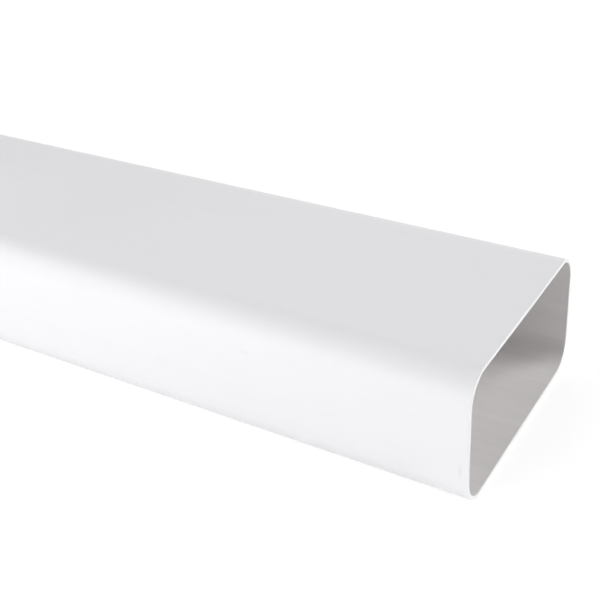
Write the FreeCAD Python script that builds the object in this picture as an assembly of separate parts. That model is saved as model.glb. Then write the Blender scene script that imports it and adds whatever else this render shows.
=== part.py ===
"""Flat channel ventilation duct: one plain length of extruded white PVC with a rounded rectangular section.

Millimetres. The duct lies on its wide side: X runs along its length, Y across its width and Z up,
with the origin under the middle of the duct, on the surface that it rests on.
"""

import os

import FreeCAD
import Part

# Driving dimensions
LENGTH = 1000.0  # one stock length, between its two sawn ends
WIDTH = 110.0  # outside, across the wide sides
HEIGHT = 54.0  # outside, across the narrow sides
WALL = 1.5  # the same all round the section
CORNER_RADIUS = 12.5  # outside; the inside corners share the same centres
EDGE_BREAK = 0.2  # chamfer that takes the burr off each sawn edge

ALONG = FreeCAD.Vector(1, 0, 0)


def rounded_rectangle(inset):
    """The section's outline at the near end, moved in from the outside by inset, as one closed wire."""
    half_width = WIDTH / 2 - inset
    low = inset
    high = HEIGHT - inset
    radius = CORNER_RADIUS - inset
    slant = radius * (1 - 0.5**0.5)  # from a side to the middle of the arc that joins it to the next

    def point(y, z):
        return FreeCAD.Vector(-LENGTH / 2, y, z)

    def corner(side, level, inward):
        """The quarter circle at one corner: it starts on the upright side and ends on the level one."""
        return Part.Arc(
            point(side * half_width, level + inward * radius),
            point(side * (half_width - slant), level + inward * slant),
            point(side * (half_width - radius), level),
        ).toShape()

    corners = [corner(side, level, inward) for level, inward in ((low, 1), (high, -1)) for side in (-1, 1)]
    low_left, low_right, high_left, high_right = corners

    def side_between(first, second, end):
        """The straight side from one corner's start or end to the other's."""
        return Part.LineSegment(first.Vertexes[end].Point, second.Vertexes[end].Point).toShape()

    start, finish = 0, -1
    sides = [
        side_between(low_left, low_right, finish),
        side_between(low_right, high_right, start),
        side_between(high_right, high_left, finish),
        side_between(high_left, low_left, start),
    ]
    return Part.Wire(Part.__sortEdges__(corners + sides))


def sawn_edges(tube):
    """The outside and inside edges of both sawn ends."""
    return [edge for edge in tube.Edges if edge.BoundBox.XLength < EDGE_BREAK]


def make_duct():
    """The section, extruded to length, with the burr taken off both ends."""
    section = Part.Face([rounded_rectangle(0), rounded_rectangle(WALL)])
    section.validate()
    tube = section.extrude(ALONG * LENGTH)
    return tube.makeChamfer(EDGE_BREAK, sawn_edges(tube)).Solids[0]


os.makedirs("parts", exist_ok=True)
duct = make_duct()
duct.exportStep("parts/duct.step")
print("duct", duct.ShapeType, duct.isValid(), len(duct.Solids), "volume cm3", duct.Volume / 1000, duct.BoundBox)
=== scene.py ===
import math

import bpy
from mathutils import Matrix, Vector


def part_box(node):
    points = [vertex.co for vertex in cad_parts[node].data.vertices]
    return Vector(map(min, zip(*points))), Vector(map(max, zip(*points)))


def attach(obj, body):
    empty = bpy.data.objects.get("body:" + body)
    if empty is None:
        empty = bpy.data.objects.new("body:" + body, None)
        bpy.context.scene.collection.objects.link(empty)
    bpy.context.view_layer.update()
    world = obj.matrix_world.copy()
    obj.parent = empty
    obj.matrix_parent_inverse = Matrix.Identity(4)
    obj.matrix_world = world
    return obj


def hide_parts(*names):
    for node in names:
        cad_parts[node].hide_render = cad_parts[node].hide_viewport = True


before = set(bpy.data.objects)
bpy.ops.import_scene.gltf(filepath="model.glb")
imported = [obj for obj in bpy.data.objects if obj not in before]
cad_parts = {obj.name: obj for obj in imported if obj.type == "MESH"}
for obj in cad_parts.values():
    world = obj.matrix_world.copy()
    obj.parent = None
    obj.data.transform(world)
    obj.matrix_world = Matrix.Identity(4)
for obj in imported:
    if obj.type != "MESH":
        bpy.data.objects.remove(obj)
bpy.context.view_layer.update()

# Flat channel duct: one length of extruded white PVC, sawn square at both ends. Metres.
# X runs along the duct, Y across its width and Z up; it lies on the floor at Z = 0.

# Sizes of the section, the same as in the part's source, and the sag that only the scene has
WALL = 0.0015
CORNER_RADIUS = 0.0125
EDGE_BREAK = 0.0002  # rounding that takes the burr off a sawn edge
WALL_SAG = 0.00015  # how far the middle of each wide wall sinks in as the stock cools

# How finely the shell is divided
CORNER_STEPS = 20
BREAK_STEPS = 4
WIDE_CUTS = 23
NARROW_CUTS = 9
END_CUTS = 1  # across the wall's thickness
LENGTH_CUTS = 55
RING_CROWDING = 2.6  # power that draws the rings along the length towards the sawn ends
STRAIGHT_RUN = 0.99999  # share of the straight run whose rings are drawn; its last ring stays
SAWN_FACING = 0.25  # a face that looks along X by more than this belongs to a sawn end
HALF_COUNT = 0.5  # keeps a rounding error from turning a whole number into its neighbour

# Colours, linear
SKIN_WHITE = (0.874, 0.874, 0.890, 1)
SKIN_SHADE = (0.856, 0.856, 0.874, 1)
# The bore's colours are darker than the skin's though it is the same plastic: painted shade inside
# the bore, which keeps it dim while the lamps light the sawn ends
BORE_WHITE = (0.880, 0.859, 0.856, 1)
BORE_SHADE = (0.786, 0.764, 0.761, 1)
SAWN_WHITE = (0.930, 0.930, 0.932, 1)
SAWN_SHADE = (0.860, 0.860, 0.864, 1)
RUBBED_GREY = (0.480, 0.480, 0.490, 1)
PLAIN_WHITE = (1, 1, 1, 1)

# Texture of the extruded plastic
DIE_LINES = (  # scale of the noise, and the range of it that goes from bare to a full line
    ("Lines", 1.0, 0.30, 0.70),
    ("Hairlines", 2.7, 0.66, 0.74),
)
LINE_CHANGES = 1.4  # per metre, along the length
COOLED_RANGE = (0.25, 0.75)  # of the noise that makes the patches and the orange peel
PATCHES, PEEL = 11.0, 900.0  # per metre
SMUDGES, FULL_SMUDGE = 24.0, 0.80  # per metre, and the noise at which one is at its strongest
SCUFF_CORE = 0.3  # share of a scuff's size over which it keeps its full strength
LINE_TONE, PATCH_TONE, SMUDGE_TONE = 0.4, 0.6, 0.10  # how far each goes to its darker colour
TONE_ROUGH, HAIRLINE_ROUGH, SMUDGE_ROUGH = 0.08, 0.06, 0.12  # what each adds to the roughness
PEEL_RELIEF, HAIRLINE_RELIEF = 0.25, -0.5  # height, as a share of a broad line's
SKIN_BUMP = 0.2

# Texture of the sawn ends
SAW_TILT = (math.radians(12), 0, 0)
SAW_SCORES = (40, 90, 2600)  # per metre, each way
SAWN_PATCHES, SAWN_PEEL = 60.0, 2400.0  # per metre
SAWN_ROUGH, SCORE_ROUGH = 0.42, 0.25  # roughness between the scores, and what they add to it
SAWN_PEEL_RELIEF = 0.4  # height, as a share of a score's
SAWN_BUMP, SCORE_DEPTH = 0.4, 0.00005

# Small marks on the skin: centre, half size and strength
SKIN_SCUFFS = (
    ((0.4970, -0.0550, 0.0172), (0.0008, 0.002, 0.0035), 0.16),
    ((0.4092, -0.0550, 0.0392), (0.0030, 0.002, 0.0020), 0.05),
    ((0.3534, -0.0535, 0.0069), (0.0008, 0.002, 0.0008), 0.45),
)

# Camera
CAMERA_AT = (0.6128, -0.3493, 0.2651)
CAMERA_AIM = (0.2752, 0.2132, 0.0)
CAMERA_ROLL = math.radians(-1.66)
CAMERA_LENS, CAMERA_SENSOR = 66.2, 36.0  # millimetres
CAMERA_SHIFT_Y = -0.25
CAMERA_NEAREST = 0.01  # anything closer is not drawn

# Light
SOFTBOXES = (  # place, the point that it faces, size, power, and whether the gloss shows it
    ("front_softbox", (0.12, -0.80, 0.38), (0.15, 0.0, 0.03), 0.75, 5.5, False),
    ("high_left_softbox", (-1.10, -0.75, 1.00), (0.30, 0.0, 0.03), 0.9, 5.8, True),
    ("right_softbox", (1.50, 0.70, 1.20), (0.50, 0.0, 0.02), 1.0, 16.8, True),
    ("back_softbox", (-0.30, 1.60, 0.48), (0.00, 0.0, 0.03), 0.9, 7.2, False),
    ("left_softbox", (-1.70, 0.90, 0.90), (-0.20, 0.0, 0.03), 1.0, 7.6, False),
    ("low_right_softbox", (1.70, -0.45, 0.16), (0.50, 0.0, 0.03), 0.3, 4.3, True),
    ("low_left_softbox", (-1.70, 0.45, 0.16), (-0.50, 0.0, 0.03), 0.3, 5.0, True),
)
WORLD_LIGHT = 0.10
BACKDROP = 1.0  # strength of the white background
OVERHEAD = 0.10  # its strength overhead, which only the gloss shows
DARKENS_FROM, DARKENS_TO = 0.40, 0.75  # upward share of the direction in which it does so
FLOOR_WHITE = (0.90, 0.90, 0.90, 1)  # what lights the duct from below
FLOOR_SEEN = (0.55, 0.55, 0.55, 1)  # what the camera sees, with the glow added
FLOOR_NEAR, NEAR_GLOW = 0.10, 0.62  # metres from the duct's sides, and the glow there, which is weaker so that it paints shade on the floor round the duct
FLOOR_FAR, FAR_GLOW = 0.70, 0.98
FLOOR_HALF = 12.0


# Nodes

FLOAT, COUNT, POINT = "NodeSocketFloat", "NodeSocketInt", "NodeSocketVector"
SHAPE, FINISH = "NodeSocketGeometry", "NodeSocketMaterial"


def feed(tree, socket, value):
    """Sets an input to a plain value, or links it to the socket that feeds it."""
    if isinstance(value, bpy.types.NodeSocket):
        tree.links.new(value, socket)
    else:
        socket.default_value = value


def place(tree, kind, inputs=None, **settings):
    """One node with its settings, which come first because a group's inputs depend on its tree."""
    made = tree.nodes.new(kind)
    for name, value in settings.items():
        setattr(made, name, value)
    for key, value in (inputs or {}).items():
        feed(tree, made.inputs[key], value)
    return made


def reckon(tree, operation, *terms, clamp=False):
    """The result of one sum in a node tree."""
    inputs = dict(enumerate(terms))
    return place(tree, "ShaderNodeMath", inputs, operation=operation, use_clamp=clamp).outputs[0]


def reckon_vector(tree, operation, *terms):
    """The result of one sum of vectors; a length is a plain number."""
    made = place(tree, "ShaderNodeVectorMath", dict(enumerate(terms)), operation=operation)
    return made.outputs["Value" if operation == "LENGTH" else "Vector"]


def combine(tree, **parts):
    """A vector from some of its X, Y and Z."""
    return place(tree, "ShaderNodeCombineXYZ", parts).outputs[0]


def separate(tree, vector):
    """A vector's X, Y and Z."""
    return place(tree, "ShaderNodeSeparateXYZ", {"Vector": vector}).outputs


def ramp(tree, value, start, stop, low=0.0, high=1.0, shape="SMOOTHSTEP"):
    """A value that goes from low to high as another one goes from start to stop."""
    inputs = {"Value": value, "From Min": start, "From Max": stop, "To Min": low, "To Max": high}
    return place(tree, "ShaderNodeMapRange", inputs, interpolation_type=shape).outputs["Result"]


def noise(tree, point, scale, detail, roughness):
    """Smooth noise over the points that it is given."""
    inputs = {"Vector": point, "Scale": scale, "Detail": detail, "Roughness": roughness}
    return place(tree, "ShaderNodeTexNoise", inputs).outputs["Fac"]


def blend(tree, share, first, second):
    """A colour between two others."""
    mixed = place(tree, "ShaderNodeMix", data_type="RGBA")
    for key, value in (("Factor_Float", share), ("A_Color", first), ("B_Color", second)):
        feed(tree, next(s for s in mixed.inputs if s.identifier == key), value)
    return next(s for s in mixed.outputs if s.identifier == "Result_Color")


def new_tree(name, kind, takes, gives):
    """An empty node tree with named inputs and outputs, and its two end nodes."""
    tree = bpy.data.node_groups.new(name, kind)
    for in_out, sockets in (("INPUT", takes), ("OUTPUT", gives)):
        for socket_name, socket_type in sockets:
            tree.interface.new_socket(socket_name, in_out=in_out, socket_type=socket_type)
    given = tree.nodes.new("NodeGroupInput").outputs
    return tree, given, tree.nodes.new("NodeGroupOutput").inputs


def empty_nodes(owner):
    """The node tree of a new material or world, with nothing in it."""
    owner.use_nodes = True
    owner.node_tree.nodes.clear()
    return owner.node_tree


def new_object(name, data):
    """An object in the scene, at the origin."""
    made = bpy.data.objects.new(name, data)
    bpy.context.scene.collection.objects.link(made)
    return made


# The shell

def rounded_outline_tree():
    """A rectangle with rounded corners and evenly cut sides, as a closed curve about the origin."""
    takes = [(name, FLOAT) for name in ("Width", "Height", "Radius")]
    takes += [(name, COUNT) for name in ("Corner Steps", "Width Cuts", "Height Cuts")]
    tree, given, result = new_tree("rounded_outline", "GeometryNodeTree", takes, [("Curve", SHAPE)])

    def sums(operation, *terms):
        return reckon(tree, operation, *terms)

    rectangle = place(
        tree,
        "GeometryNodeCurvePrimitiveQuadrilateral",
        {"Width": given["Width"], "Height": given["Height"]},
        mode="RECTANGLE",
    ).outputs["Curve"]
    rounded = place(
        tree,
        "GeometryNodeFilletCurve",
        {"Curve": rectangle, "Count": given["Corner Steps"], "Radius": given["Radius"]},
        mode="POLY",
    ).outputs["Curve"]
    # Each corner has one more point than steps, and its last point starts a straight side
    index = place(tree, "GeometryNodeInputIndex").outputs[0]
    points_each = sums("ADD", given["Corner Steps"], 1.0)
    step = sums("MODULO", index, points_each)
    starts_side = sums("COMPARE", step, given["Corner Steps"], HALF_COUNT)
    corner = sums("FLOOR", sums("DIVIDE", sums("ADD", index, HALF_COUNT), points_each))
    upright = sums("MODULO", corner, 2.0)
    level = sums("SUBTRACT", 1.0, upright)
    cuts = sums(
        "ADD",
        sums("MULTIPLY", upright, given["Height Cuts"]),
        sums("MULTIPLY", level, given["Width Cuts"]),
    )
    divided = place(
        tree,
        "GeometryNodeSubdivideCurve",
        {"Curve": rounded, "Cuts": sums("MULTIPLY", cuts, starts_side)},
    )
    tree.links.new(divided.outputs["Curve"], result["Curve"])
    return tree


def duct_shell_tree():
    """The duct: the wall's own long thin outline, swept once round the section's outline."""
    takes = [(name, FLOAT) for name in ("Length", "Width", "Height", "Wall", "Corner Radius")]
    takes += [(name, FLOAT) for name in ("Edge Break", "Wall Sag", "Ring Crowding")]
    takes += [(name, COUNT) for name in ("Corner Steps", "Break Steps", "Wide Cuts")]
    takes += [(name, COUNT) for name in ("Narrow Cuts", "End Cuts", "Length Cuts")]
    takes += [(name, FINISH) for name in ("Skin", "Bore", "Sawn End")]
    tree, given, result = new_tree("duct_shell", "GeometryNodeTree", takes, [("Geometry", SHAPE)])
    rounded_outline = rounded_outline_tree()

    def outline(**given_names):
        """One rounded outline; each of its inputs takes the value of one of the duct's."""
        inputs = {key.replace("_", " "): given[name] for key, name in given_names.items()}
        made = place(tree, "GeometryNodeGroup", inputs, node_tree=rounded_outline)
        return made.outputs["Curve"]

    def sums(operation, *terms, **options):
        return reckon(tree, operation, *terms, **options)

    def parts_of_position():
        return separate(tree, place(tree, "GeometryNodeInputPosition").outputs[0])

    # The section's outline, with its wide sides sunk a little towards the middle
    section = outline(
        Width="Width",
        Height="Height",
        Radius="Corner Radius",
        Corner_Steps="Corner Steps",
        Width_Cuts="Wide Cuts",
        Height_Cuts="Narrow Cuts",
    )
    here = parts_of_position()
    half_side = sums("SUBTRACT", sums("MULTIPLY", given["Width"], 0.5), given["Corner Radius"])
    share = sums("DIVIDE", here["X"], half_side)
    swell = sums("SUBTRACT", 1.0, sums("MULTIPLY", share, share), clamp=True)
    sink = sums("MULTIPLY", sums("MULTIPLY", swell, swell), given["Wall Sag"])
    inward = sums("MULTIPLY", sums("SIGN", here["Y"]), sums("MULTIPLY", sink, -1.0))
    sunk = place(
        tree,
        "GeometryNodeSetPosition",
        {"Geometry": section, "Offset": combine(tree, Y=inward)},
    ).outputs[0]
    path = place(tree, "GeometryNodeSetCurveNormal", {"Curve": sunk}, mode="Z_UP").outputs[0]

    # The wall's outline: its thickness across and the duct's length up, its rings drawn to the ends
    wall = outline(
        Width="Wall",
        Height="Length",
        Radius="Edge Break",
        Corner_Steps="Break Steps",
        Width_Cuts="End Cuts",
        Height_Cuts="Length Cuts",
    )
    here = parts_of_position()
    half_run = sums("SUBTRACT", sums("MULTIPLY", given["Length"], 0.5), given["Edge Break"])
    reach = sums("DIVIDE", sums("ABSOLUTE", here["Y"]), half_run)
    left_over = sums("POWER", sums("SUBTRACT", 1.0, reach, clamp=True), given["Ring Crowding"])
    crowded = sums("MULTIPLY", sums("SUBTRACT", 1.0, left_over), half_run)
    along = sums("MULTIPLY", crowded, sums("SIGN", here["Y"]))
    drawn = place(
        tree,
        "GeometryNodeSetPosition",
        {
            "Geometry": wall,
            "Selection": sums("LESS_THAN", reach, STRAIGHT_RUN),
            "Position": combine(tree, X=here["X"], Y=along),
        },
    ).outputs[0]
    half_wall = sums("MULTIPLY", given["Wall"], -0.5)
    inside = place(
        tree,
        "GeometryNodeTransform",
        {"Geometry": drawn, "Translation": combine(tree, X=half_wall)},
    ).outputs[0]
    depth = tree.nodes.new("GeometryNodeCaptureAttribute")
    depth.capture_items.new("FLOAT", "Depth")
    tree.links.new(inside, depth.inputs["Geometry"])
    tree.links.new(parts_of_position()["X"], depth.inputs["Depth"])

    swept = place(
        tree,
        "GeometryNodeCurveToMesh",
        {"Curve": path, "Profile Curve": depth.outputs["Geometry"]},
    ).outputs[0]
    laid = place(
        tree,
        "GeometryNodeTransform",
        {
            "Geometry": swept,
            "Translation": combine(tree, Z=sums("MULTIPLY", given["Height"], 0.5)),
            "Rotation": (math.radians(90), 0, math.radians(90)),
        },
    ).outputs[0]
    smooth = place(tree, "GeometryNodeSetShadeSmooth", {"Geometry": laid}).outputs[0]
    finished = place(tree, "GeometryNodeRealizeInstances", {"Geometry": smooth}).outputs[0]

    in_bore = sums("LESS_THAN", depth.outputs["Depth"], half_wall)
    facing = separate(tree, place(tree, "GeometryNodeInputNormal").outputs["Normal"])
    at_end = sums("GREATER_THAN", sums("ABSOLUTE", facing["X"]), SAWN_FACING)
    for finish, where in (("Skin", True), ("Bore", in_bore), ("Sawn End", at_end)):
        inputs = {"Geometry": finished, "Material": given[finish], "Selection": where}
        finished = place(tree, "GeometryNodeSetMaterial", inputs).outputs[0]
    tree.links.new(finished, result["Geometry"])
    return tree


def make_piece(name, tree, values):
    """The tree's result as a plain mesh object at the origin."""
    piece = new_object(name, bpy.data.meshes.new(name))
    modifier = piece.modifiers.new(name, "NODES")
    modifier.node_group = tree
    for socket in tree.interface.items_tree:
        if socket.in_out == "INPUT":
            modifier[socket.identifier] = values[socket.name]
    evaluated = piece.evaluated_get(bpy.context.evaluated_depsgraph_get())
    mesh = bpy.data.meshes.new_from_object(evaluated)
    piece.modifiers.remove(modifier)
    piece.data = mesh
    mesh.name = name
    return piece


# The finishes

def die_lines_group():
    """What the die draws along the length: soft broad lines, and a few fine hairlines."""
    takes = [("Point", POINT), ("Lines per Metre", FLOAT), ("Changes per Metre", FLOAT)]
    gives = [("Lines", FLOAT), ("Hairlines", FLOAT)]
    tree, given, result = new_tree("die_lines", "ShaderNodeTree", takes, gives)
    across = given["Lines per Metre"]
    stretch = combine(tree, X=given["Changes per Metre"], Y=across, Z=across)
    drawn = reckon_vector(tree, "MULTIPLY", given["Point"], stretch)
    for output, scale, bare, full in DIE_LINES:
        streaks = noise(tree, drawn, scale, detail=3.0, roughness=0.6)
        tree.links.new(ramp(tree, streaks, bare, full), result[output])
    return tree


def cooled_skin_group():
    """Slow change of shade and gloss over the plastic, and the orange peel of a cooled skin."""
    takes = [("Point", POINT), ("Patches per Metre", FLOAT), ("Peel per Metre", FLOAT)]
    gives = [("Patches", FLOAT), ("Peel", FLOAT)]
    tree, given, result = new_tree("cooled_skin", "ShaderNodeTree", takes, gives)
    for output, _ in gives:
        scale = given[f"{output} per Metre"]
        ripple = noise(tree, given["Point"], scale, detail=2.0, roughness=0.5)
        tree.links.new(ramp(tree, ripple, *COOLED_RANGE, shape="LINEAR"), result[output])
    return tree


def rubbed_group():
    """Sparse soft smudges from handling and stacking."""
    takes = [("Point", POINT), ("Smudges per Metre", FLOAT), ("Bareness", FLOAT)]
    tree, given, result = new_tree("rubbed", "ShaderNodeTree", takes, [("Smudge", FLOAT)])
    patches = noise(tree, given["Point"], given["Smudges per Metre"], detail=5.0, roughness=0.7)
    tree.links.new(ramp(tree, patches, given["Bareness"], FULL_SMUDGE), result["Smudge"])
    return tree


def scuff_group():
    """One small soft mark of a given place and size."""
    takes = [("Point", POINT), ("Centre", POINT), ("Half Size", POINT)]
    tree, given, result = new_tree("scuff", "ShaderNodeTree", takes, [("Mark", FLOAT)])
    away = reckon_vector(tree, "SUBTRACT", given["Point"], given["Centre"])
    reach = reckon_vector(tree, "LENGTH", reckon_vector(tree, "DIVIDE", away, given["Half Size"]))
    tree.links.new(ramp(tree, reach, SCUFF_CORE, 1.0, low=1.0, high=0.0), result["Mark"])
    return tree


def new_material(name):
    """An empty material, its shader and the object's own coordinates."""
    material = bpy.data.materials.new(name)
    tree = empty_nodes(material)
    shader = place(tree, "ShaderNodeBsdfPrincipled")
    place(tree, "ShaderNodeOutputMaterial", {"Surface": shader.outputs[0]})
    return material, tree, shader, place(tree, "ShaderNodeTexCoord").outputs["Object"]


def raise_surface(tree, shader, relief, strength, depth):
    """Gives a finish its fine relief."""
    inputs = {"Strength": strength, "Distance": depth, "Height": relief}
    tree.links.new(place(tree, "ShaderNodeBump", inputs).outputs[0], shader.inputs["Normal"])


def extruded_finish(
    name, groups, white, shade, lines_per_metre, line_depth, rough, bareness, scuffs=()
):
    """White PVC as it leaves the die: the outside skin and the bore differ only in their values."""
    material, tree, shader, point = new_material(name)

    def effect(group, **values):
        inputs = {key.replace("_", " "): value for key, value in values.items()}
        inputs["Point"] = point
        return place(tree, "ShaderNodeGroup", inputs, node_tree=groups[group]).outputs

    def add_share(value, share, total):
        return reckon(tree, "MULTIPLY_ADD", value, share, total)

    die = effect("die_lines", Lines_per_Metre=lines_per_metre, Changes_per_Metre=LINE_CHANGES)
    cooled = effect("cooled_skin", Patches_per_Metre=PATCHES, Peel_per_Metre=PEEL)
    smudge = effect("rubbed", Smudges_per_Metre=SMUDGES, Bareness=bareness)["Smudge"]

    patches = reckon(tree, "MULTIPLY", cooled["Patches"], PATCH_TONE)
    tone = add_share(die["Lines"], LINE_TONE, patches)
    colour = blend(tree, tone, white, shade)
    marks = [(smudge, SMUDGE_TONE)]
    for centre, half_size, strength in scuffs:
        marks.append((effect("scuff", Centre=centre, Half_Size=half_size)["Mark"], strength))
    for mark, strength in marks:
        colour = blend(tree, reckon(tree, "MULTIPLY", mark, strength), colour, RUBBED_GREY)
    tree.links.new(colour, shader.inputs["Base Color"])

    roughness = add_share(tone, TONE_ROUGH, rough)
    roughness = add_share(die["Hairlines"], HAIRLINE_ROUGH, roughness)
    roughness = add_share(smudge, SMUDGE_ROUGH, roughness)
    tree.links.new(roughness, shader.inputs["Roughness"])

    relief = add_share(cooled["Peel"], PEEL_RELIEF, die["Lines"])
    relief = add_share(die["Hairlines"], HAIRLINE_RELIEF, relief)
    raise_surface(tree, shader, relief, SKIN_BUMP, line_depth)
    return material


def sawn_finish(groups):
    """The cut faces: paler, duller, and scored by the saw."""
    material, tree, shader, point = new_material("sawn_end")
    across_saw = place(
        tree,
        "ShaderNodeMapping",
        {"Vector": point, "Rotation": SAW_TILT, "Scale": SAW_SCORES},
    ).outputs[0]
    scores = noise(tree, across_saw, 1.0, detail=3.0, roughness=0.7)
    cooled = place(
        tree,
        "ShaderNodeGroup",
        {"Point": point, "Patches per Metre": SAWN_PATCHES, "Peel per Metre": SAWN_PEEL},
        node_tree=groups["cooled_skin"],
    ).outputs
    tone = reckon(tree, "MULTIPLY", scores, cooled["Patches"], clamp=True)
    tree.links.new(blend(tree, tone, SAWN_WHITE, SAWN_SHADE), shader.inputs["Base Color"])
    roughness = reckon(tree, "MULTIPLY_ADD", scores, SCORE_ROUGH, SAWN_ROUGH)
    tree.links.new(roughness, shader.inputs["Roughness"])
    relief = reckon(tree, "MULTIPLY_ADD", cooled["Peel"], SAWN_PEEL_RELIEF, scores)
    raise_surface(tree, shader, relief, SAWN_BUMP, SCORE_DEPTH)
    return material


groups = {
    "die_lines": die_lines_group(),
    "cooled_skin": cooled_skin_group(),
    "rubbed": rubbed_group(),
    "scuff": scuff_group(),
}
skin = extruded_finish(
    "duct_skin",
    groups,
    SKIN_WHITE,
    SKIN_SHADE,
    lines_per_metre=420.0,
    line_depth=0.000012,
    rough=0.34,
    bareness=0.62,
    scuffs=SKIN_SCUFFS,
)
# Darker colours than the skin's: painted shade inside the bore
bore = extruded_finish(
    "duct_bore",
    groups,
    BORE_WHITE,
    BORE_SHADE,
    lines_per_metre=260.0,
    line_depth=0.00003,
    rough=0.42,
    bareness=0.64,
)
sawn_end = sawn_finish(groups)

low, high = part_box("duct")
length, width, height = high - low
duct_shell = make_piece(
    "duct_shell",
    duct_shell_tree(),
    {
        "Length": length,
        "Width": width,
        "Height": height,
        "Wall": WALL,
        "Corner Radius": CORNER_RADIUS,
        "Edge Break": EDGE_BREAK,
        "Wall Sag": WALL_SAG,
        "Ring Crowding": RING_CROWDING,
        "Corner Steps": CORNER_STEPS,
        "Break Steps": BREAK_STEPS,
        "Wide Cuts": WIDE_CUTS,
        "Narrow Cuts": NARROW_CUTS,
        "End Cuts": END_CUTS,
        "Length Cuts": LENGTH_CUTS,
        "Skin": skin,
        "Bore": bore,
        "Sawn End": sawn_end,
    },
)
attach(duct_shell, "root")
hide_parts("duct")


# The studio

def seen_straight_on(tree):
    """1 for a ray from the camera, or one that gloss or glass sends on."""
    path = place(tree, "ShaderNodeLightPath").outputs
    reflected = reckon(tree, "MAXIMUM", path["Is Glossy Ray"], path["Is Transmission Ray"])
    return reckon(tree, "MAXIMUM", path["Is Camera Ray"], reflected)


def make_floor():
    """A wide pale floor that is white away from the duct, with painted shade round it, and keeps
    its shadow.
    """
    mesh = bpy.data.meshes.new("studio_floor")
    sides = ((-1, -1), (1, -1), (1, 1), (-1, 1))
    corners = [(x * FLOOR_HALF, y * FLOOR_HALF, 0) for x, y in sides]
    mesh.from_pydata(corners, [], [(0, 1, 2, 3)])
    floor = new_object("studio_floor", mesh)
    material = bpy.data.materials.new("studio_floor")
    tree = empty_nodes(material)
    seen = seen_straight_on(tree)
    colour = blend(tree, seen, FLOOR_WHITE, FLOOR_SEEN)
    matt = place(tree, "ShaderNodeBsdfDiffuse", {"Color": colour}).outputs[0]

    # The glow grows with the distance from the duct's sides, so painted shade lies on the floor
    # round the duct, on top of its real shadow
    point = place(tree, "ShaderNodeTexCoord").outputs["Object"]
    half_duct = (length / 2, width / 2, 0)
    beyond = reckon_vector(tree, "SUBTRACT", reckon_vector(tree, "ABSOLUTE", point), half_duct)
    away = reckon_vector(tree, "LENGTH", reckon_vector(tree, "MAXIMUM", beyond, (0, 0, 0)))
    strength = ramp(tree, away, FLOOR_NEAR, FLOOR_FAR, NEAR_GLOW, FAR_GLOW)
    glow = place(
        tree,
        "ShaderNodeEmission",
        {"Color": PLAIN_WHITE, "Strength": reckon(tree, "MULTIPLY", seen, strength)},
    ).outputs[0]
    both = place(tree, "ShaderNodeAddShader", {0: matt, 1: glow}).outputs[0]
    place(tree, "ShaderNodeOutputMaterial", {"Surface": both})
    mesh.materials.append(material)


def light_world():
    """Even white light from all round, and a white background that darkens overhead."""
    world = bpy.data.worlds.new("studio")
    tree = empty_nodes(world)
    direction = place(tree, "ShaderNodeTexCoord").outputs["Object"]
    upward = separate(tree, direction)["Z"]
    backdrop = ramp(tree, upward, DARKENS_FROM, DARKENS_TO, BACKDROP, OVERHEAD)
    seen = seen_straight_on(tree)
    strength = ramp(tree, seen, 0.0, 1.0, WORLD_LIGHT, backdrop, shape="LINEAR")
    sky = place(tree, "ShaderNodeBackground", {"Color": PLAIN_WHITE, "Strength": strength})
    place(tree, "ShaderNodeOutputWorld", {"Surface": sky.outputs[0]})
    bpy.context.scene.world = world


def aim(thing, target):
    """Turns a lamp or the camera towards a point."""
    towards = Vector(target) - thing.location
    thing.rotation_euler = towards.to_track_quat("-Z", "Y").to_euler()


def add_softbox(name, at, target, size, power, in_gloss):
    """A large square lamp; one kept out of the gloss lights the duct but leaves no glare on it."""
    lamp = bpy.data.lights.new(name, "AREA")
    lamp.shape = "SQUARE"
    lamp.size = size
    lamp.energy = power
    softbox = new_object(name, lamp)
    softbox.location = at
    softbox.visible_glossy = in_gloss
    aim(softbox, target)


def add_camera():
    """The camera at the photograph's angle."""
    camera = new_object("camera", bpy.data.cameras.new("camera"))
    camera.data.lens = CAMERA_LENS
    camera.data.sensor_width = CAMERA_SENSOR
    camera.data.shift_y = CAMERA_SHIFT_Y
    camera.data.clip_start = CAMERA_NEAREST
    camera.location = CAMERA_AT
    aim(camera, CAMERA_AIM)
    camera.rotation_euler.rotate_axis("Z", CAMERA_ROLL)
    bpy.context.scene.camera = camera


make_floor()
light_world()
for softbox in SOFTBOXES:
    add_softbox(*softbox)
add_camera()
bpy.context.scene.view_settings.view_transform = "Standard"
